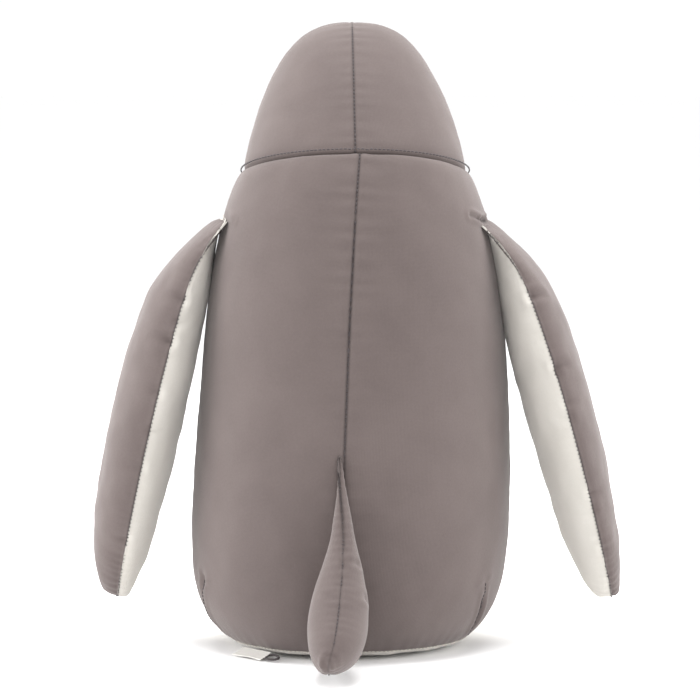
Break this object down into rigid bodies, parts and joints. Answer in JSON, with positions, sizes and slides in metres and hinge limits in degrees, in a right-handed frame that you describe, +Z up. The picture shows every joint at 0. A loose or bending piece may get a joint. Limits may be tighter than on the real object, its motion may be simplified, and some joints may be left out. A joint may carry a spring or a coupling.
{
  "type": "plush penguin",
  "caption": "Standing plush penguin, grey back and off-white front, with flippers that lift, a tail that swings, feet that flex and a head that nods.",
  "frame": {"origin": "middle of the flat that the base stands on, on the floor", "axes": "+Z up, the face looks along -Y, the penguin's left side is +X"},
  "size_m": [0.329, 0.2766, 0.3871],
  "materials": {
    "grey_fabric": "matt stretch jersey with a soft sheen",
    "white_fabric": "matt off-white stretch jersey with a soft sheen",
    "ochre_fabric": "matt muted ochre stretch jersey",
    "fibre_filling": "loose white fibre",
    "grey_thread": "dark grey sewing thread",
    "pale_thread": "off-white sewing thread",
    "black_plastic": "moulded, polished",
    "clear_plastic": "milky moulded plastic",
    "label_satin": "white woven label, blank"
  },
  "bodies": {
    "body": {"back_seam_thread": "grey_thread", "base_panel": "white_fabric", "base_seam_thread": "pale_thread", "belly_panel": "white_fabric", "body_back_left": "grey_fabric", "body_back_right": "grey_fabric", "body_stuffing": "fibre_filling", "care_label": "label_satin", "closing_stitch": "grey_thread", "dart_thread_left": "grey_thread", "dart_thread_right": "grey_thread", "neck_seam_thread": "grey_thread", "side_seam_thread": "pale_thread"},
    "head": {"beak_lower": "ochre_fabric", "beak_stuffing": "fibre_filling", "beak_upper": "ochre_fabric", "eye_left": "black_plastic", "eye_right": "black_plastic", "eye_washer_left": "clear_plastic", "eye_washer_right": "clear_plastic", "face_panel": "white_fabric", "face_seam_thread": "pale_thread", "head_back_left": "grey_fabric", "head_back_right": "grey_fabric", "head_seam_thread": "grey_thread", "head_stuffing": "fibre_filling"},
    "flipper_left": {"flipper_inner_left": "white_fabric", "flipper_outer_left": "grey_fabric", "flipper_root_left": "grey_fabric", "flipper_seam_thread_left": "grey_thread", "flipper_stuffing_left": "fibre_filling"},
    "flipper_right": {"flipper_inner_right": "white_fabric", "flipper_outer_right": "grey_fabric", "flipper_root_right": "grey_fabric", "flipper_seam_thread_right": "grey_thread", "flipper_stuffing_right": "fibre_filling"},
    "tail": {"tail_left": "grey_fabric", "tail_right": "grey_fabric", "tail_seam_thread": "grey_thread", "tail_stuffing": "fibre_filling"},
    "foot_left": {"foot_seam_thread_left": "pale_thread", "foot_sole_left": "ochre_fabric", "foot_stuffing_left": "fibre_filling", "foot_upper_left": "ochre_fabric"},
    "foot_right": {"foot_seam_thread_right": "pale_thread", "foot_sole_right": "ochre_fabric", "foot_stuffing_right": "fibre_filling", "foot_upper_right": "ochre_fabric"}
  },
  "joints": [
    {"name": "neck_nod", "type": "hinge", "parent": "body", "child": "head", "pos_m": [0, -0.00559, 0.30416], "axis": [1, 0, 0], "range_deg": [-10, 10], "stiffness_Nm_per_rad": 1.2},
    {"name": "flipper_left_lift", "type": "hinge", "parent": "body", "child": "flipper_left", "pos_m": [0.08874, 0, 0.266], "axis": [0, -1, 0], "range_deg": [0, 75]},
    {"name": "flipper_right_lift", "type": "hinge", "parent": "body", "child": "flipper_right", "pos_m": [-0.08874, 0, 0.266], "axis": [0, 1, 0], "range_deg": [0, 75]},
    {"name": "tail_swing", "type": "hinge", "parent": "body", "child": "tail", "pos_m": [0, 0.0885, 0], "axis": [0, 0, 1], "range_deg": [-18, 18]},
    {"name": "foot_left_flex", "type": "hinge", "parent": "body", "child": "foot_left", "pos_m": [0.03966, -0.06847, 0.006], "axis": [-0.9397, -0.342, 0], "range_deg": [0, 18]},
    {"name": "foot_right_flex", "type": "hinge", "parent": "body", "child": "foot_right", "pos_m": [-0.03966, -0.06847, 0.006], "axis": [-0.9397, 0.342, 0], "range_deg": [0, 18]}
  ]
}
